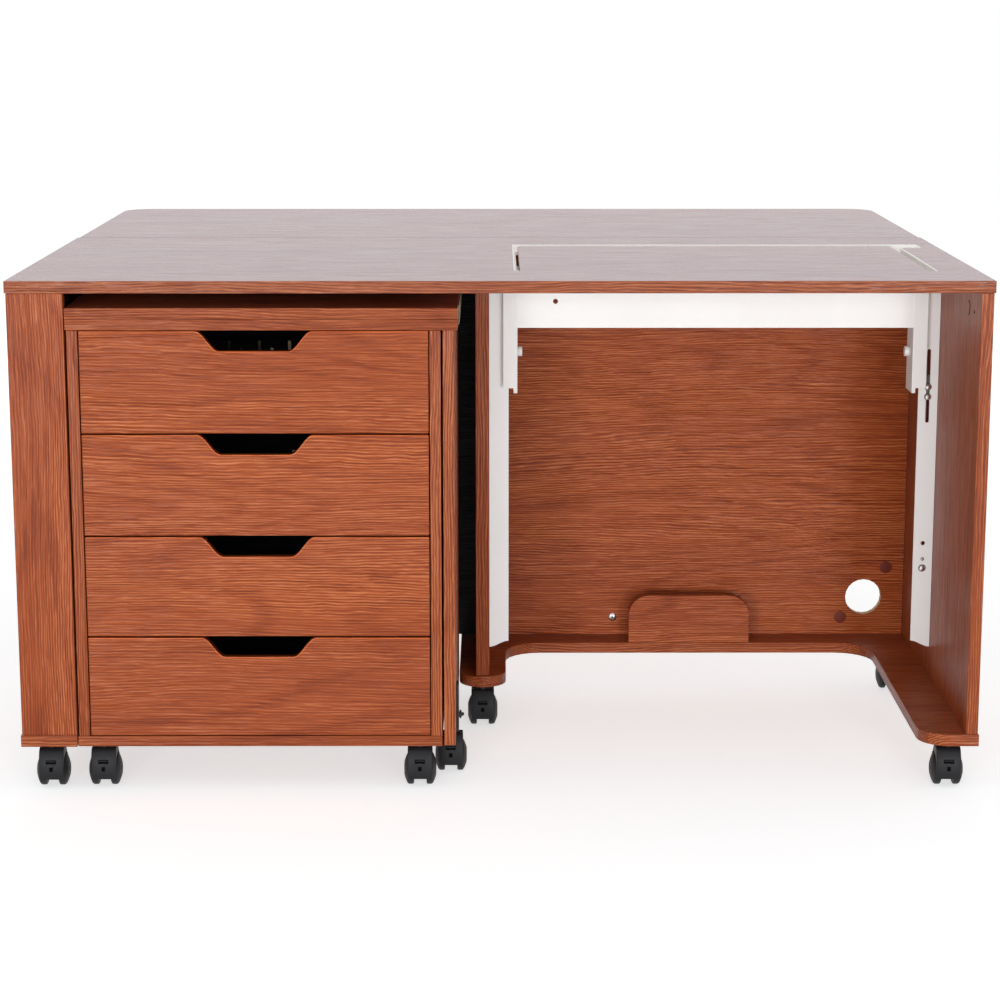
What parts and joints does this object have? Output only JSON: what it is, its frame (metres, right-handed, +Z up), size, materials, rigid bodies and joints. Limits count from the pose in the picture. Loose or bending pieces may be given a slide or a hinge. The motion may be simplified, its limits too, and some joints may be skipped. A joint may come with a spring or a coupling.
{
  "type": "fold-away sewing cabinet",
  "caption": "Fold-away sewing cabinet on casters: worktop with a sinking machine platform, a rear drop leaf and a roll-out drawer caddy beside the knee space.",
  "frame": {"origin": "on the floor under the middle of the opened table", "axes": "+X to the sitter's right along the front edge, +Y from the front edge to the drop leaf, +Z up"},
  "size_m": [1.438, 1.251, 0.768],
  "materials": {
    "teak_laminate": "satin wood-grain laminate, reddish brown",
    "black_laminate": "black wood-grain laminate",
    "white_paint": "white powder coat on sheet steel",
    "white_plastic": "white moulded plastic",
    "black_steel": "black coated steel",
    "bright_steel": "plated steel",
    "caster_plastic": "charcoal moulded plastic"
  },
  "bodies": {
    "cabinet": {"worktop": "teak_laminate", "right_side_panel": "teak_laminate", "left_side_panel": "teak_laminate", "left_front_stile": "teak_laminate", "divider_panel": "teak_laminate", "back_panel": "teak_laminate", "base_frame": "teak_laminate", "left_foot_plate": "teak_laminate", "rear_stop_panel": "teak_laminate", "opening_trim": "white_plastic", "lift_rail_left": "white_paint", "lift_rail_right": "white_paint", "gas_rod": "bright_steel", "stay_rail_left": "black_steel", "stay_rail_right": "black_steel"},
    "leaf": {"rear_leaf": "teak_laminate", "stay_arm_left": "black_steel", "stay_arm_right": "black_steel"},
    "strut_left": {"stay_strut_left": "black_steel"},
    "strut_right": {"stay_strut_right": "black_steel"},
    "lift": {"lift_platform": "teak_laminate", "lift_carriage": "white_paint", "lift_guide_left": "white_plastic", "lift_guide_right": "white_plastic", "gas_cylinder": "black_steel"},
    "caddy": {"caddy_left_side": "teak_laminate", "caddy_right_side": "teak_laminate", "caddy_base": "teak_laminate", "caddy_back": "teak_laminate", "caddy_top": "teak_laminate", "caddy_flip_leaf": "teak_laminate", "gate_leg": "teak_laminate"},
    "drawer_1": {"drawer_1_front": "teak_laminate", "drawer_1_box": "black_laminate"},
    "drawer_2": {"drawer_2_front": "teak_laminate", "drawer_2_box": "black_laminate"},
    "drawer_3": {"drawer_3_front": "teak_laminate", "drawer_3_box": "black_laminate"},
    "drawer_4": {"drawer_4_front": "teak_laminate", "drawer_4_box": "black_laminate"},
    "front_left_caster": {"front_left_caster_hood": "caster_plastic"},
    "front_left_caster_wheel": {"front_left_caster_wheels": "caster_plastic"},
    "front_right_caster": {"front_right_caster_hood": "caster_plastic"},
    "front_right_caster_wheel": {"front_right_caster_wheels": "caster_plastic"},
    "middle_caster": {"middle_caster_hood": "caster_plastic"},
    "middle_caster_wheel": {"middle_caster_wheels": "caster_plastic"},
    "rear_left_caster": {"rear_left_caster_hood": "caster_plastic"},
    "rear_left_caster_wheel": {"rear_left_caster_wheels": "caster_plastic"},
    "rear_right_caster": {"rear_right_caster_hood": "caster_plastic"},
    "rear_right_caster_wheel": {"rear_right_caster_wheels": "caster_plastic"},
    "caddy_front_left_caster": {"caddy_front_left_caster_hood": "caster_plastic"},
    "caddy_front_left_caster_wheel": {"caddy_front_left_caster_wheels": "caster_plastic"},
    "caddy_front_right_caster": {"caddy_front_right_caster_hood": "caster_plastic"},
    "caddy_front_right_caster_wheel": {"caddy_front_right_caster_wheels": "caster_plastic"},
    "caddy_rear_left_caster": {"caddy_rear_left_caster_hood": "caster_plastic"},
    "caddy_rear_left_caster_wheel": {"caddy_rear_left_caster_wheels": "caster_plastic"},
    "caddy_rear_right_caster": {"caddy_rear_right_caster_hood": "caster_plastic"},
    "caddy_rear_right_caster_wheel": {"caddy_rear_right_caster_wheels": "caster_plastic"},
    "gate_caster": {"gate_caster_hood": "caster_plastic"},
    "gate_caster_wheel": {"gate_caster_wheels": "caster_plastic"}
  },
  "joints": [
    {"name": "leaf_fold", "type": "hinge", "parent": "cabinet", "child": "leaf", "pos_m": [0, 0.042, 0.738], "axis": [-1, 0, 0], "range_deg": [0, 90]},
    {"name": "stay_knee_left", "type": "hinge", "parent": "leaf", "child": "strut_left", "pos_m": [-0.45, 0.282, 0.738], "axis": [1, 0, 0], "range_deg": [0, 131.39]},
    {"name": "stay_knee_right", "type": "hinge", "parent": "leaf", "child": "strut_right", "pos_m": [0.45, 0.282, 0.738], "axis": [1, 0, 0], "range_deg": [0, 131.39]},
    {"name": "lift_travel", "type": "slide", "parent": "cabinet", "child": "lift", "axis": [0, 0, -1], "range_m": [0, 0.25]},
    {"name": "caddy_roll_out", "type": "slide", "parent": "cabinet", "child": "caddy", "axis": [0, -1, 0], "range_m": [0, 0.7]},
    {"name": "drawer_1_slide", "type": "slide", "parent": "caddy", "child": "drawer_1", "axis": [0, -1, 0], "range_m": [0, 0.36]},
    {"name": "drawer_2_slide", "type": "slide", "parent": "caddy", "child": "drawer_2", "axis": [0, -1, 0], "range_m": [0, 0.36]},
    {"name": "drawer_3_slide", "type": "slide", "parent": "caddy", "child": "drawer_3", "axis": [0, -1, 0], "range_m": [0, 0.36]},
    {"name": "drawer_4_slide", "type": "slide", "parent": "caddy", "child": "drawer_4", "axis": [0, -1, 0], "range_m": [0, 0.36]},
    {"name": "front_left_caster_swivel", "type": "hinge", "parent": "cabinet", "child": "front_left_caster", "pos_m": [-0.676, -0.6055, 0.067], "axis": [0, 0, 1], "continuous": true},
    {"name": "front_left_caster_roll", "type": "hinge", "parent": "front_left_caster", "child": "front_left_caster_wheel", "pos_m": [-0.676, -0.5955, 0.0245], "axis": [1, 0, 0], "continuous": true},
    {"name": "front_right_caster_swivel", "type": "hinge", "parent": "cabinet", "child": "front_right_caster", "pos_m": [0.676, -0.6055, 0.067], "axis": [0, 0, 1], "continuous": true},
    {"name": "front_right_caster_roll", "type": "hinge", "parent": "front_right_caster", "child": "front_right_caster_wheel", "pos_m": [0.676, -0.5955, 0.0245], "axis": [1, 0, 0], "continuous": true},
    {"name": "middle_caster_swivel", "type": "hinge", "parent": "cabinet", "child": "middle_caster", "pos_m": [-0.02775, -0.2835, 0.067], "axis": [0, 0, 1], "continuous": true},
    {"name": "middle_caster_roll", "type": "hinge", "parent": "middle_caster", "child": "middle_caster_wheel", "pos_m": [-0.02775, -0.2735, 0.0245], "axis": [1, 0, 0], "continuous": true},
    {"name": "rear_left_caster_swivel", "type": "hinge", "parent": "cabinet", "child": "rear_left_caster", "pos_m": [-0.676, -0.0655, 0.067], "axis": [0, 0, 1], "continuous": true},
    {"name": "rear_left_caster_roll", "type": "hinge", "parent": "rear_left_caster", "child": "rear_left_caster_wheel", "pos_m": [-0.676, -0.0555, 0.0245], "axis": [1, 0, 0], "continuous": true},
    {"name": "rear_right_caster_swivel", "type": "hinge", "parent": "cabinet", "child": "rear_right_caster", "pos_m": [0.675, -0.0655, 0.067], "axis": [0, 0, 1], "continuous": true},
    {"name": "rear_right_caster_roll", "type": "hinge", "parent": "rear_right_caster", "child": "rear_right_caster_wheel", "pos_m": [0.675, -0.0555, 0.0245], "axis": [1, 0, 0], "continuous": true},
    {"name": "caddy_front_left_caster_swivel", "type": "hinge", "parent": "caddy", "child": "caddy_front_left_caster", "pos_m": [-0.5975, -0.6035, 0.067], "axis": [0, 0, 1], "continuous": true},
    {"name": "caddy_front_left_caster_roll", "type": "hinge", "parent": "caddy_front_left_caster", "child": "caddy_front_left_caster_wheel", "pos_m": [-0.5975, -0.5935, 0.0245], "axis": [1, 0, 0], "continuous": true},
    {"name": "caddy_front_right_caster_swivel", "type": "hinge", "parent": "caddy", "child": "caddy_front_right_caster", "pos_m": [-0.121, -0.6035, 0.067], "axis": [0, 0, 1], "continuous": true},
    {"name": "caddy_front_right_caster_roll", "type": "hinge", "parent": "caddy_front_right_caster", "child": "caddy_front_right_caster_wheel", "pos_m": [-0.121, -0.5935, 0.0245], "axis": [1, 0, 0], "continuous": true},
    {"name": "caddy_rear_left_caster_swivel", "type": "hinge", "parent": "caddy", "child": "caddy_rear_left_caster", "pos_m": [-0.5975, -0.1705, 0.067], "axis": [0, 0, 1], "continuous": true},
    {"name": "caddy_rear_left_caster_roll", "type": "hinge", "parent": "caddy_rear_left_caster", "child": "caddy_rear_left_caster_wheel", "pos_m": [-0.5975, -0.1605, 0.0245], "axis": [1, 0, 0], "continuous": true},
    {"name": "caddy_rear_right_caster_swivel", "type": "hinge", "parent": "caddy", "child": "caddy_rear_right_caster", "pos_m": [-0.121, -0.1705, 0.067], "axis": [0, 0, 1], "continuous": true},
    {"name": "caddy_rear_right_caster_roll", "type": "hinge", "parent": "caddy_rear_right_caster", "child": "caddy_rear_right_caster_wheel", "pos_m": [-0.121, -0.1605, 0.0245], "axis": [1, 0, 0], "continuous": true},
    {"name": "gate_caster_swivel", "type": "hinge", "parent": "caddy", "child": "gate_caster", "pos_m": [-0.0755, -0.5335, 0.067], "axis": [0, 0, 1], "continuous": true},
    {"name": "gate_caster_roll", "type": "hinge", "parent": "gate_caster", "child": "gate_caster_wheel", "pos_m": [-0.0755, -0.5235, 0.0245], "axis": [1, 0, 0], "continuous": true}
  ],
  "couplings": [
    {"joint": "stay_knee_left", "follows": "leaf_fold", "ratio": 1.4599},
    {"joint": "stay_knee_right", "follows": "leaf_fold", "ratio": 1.4599}
  ]
}
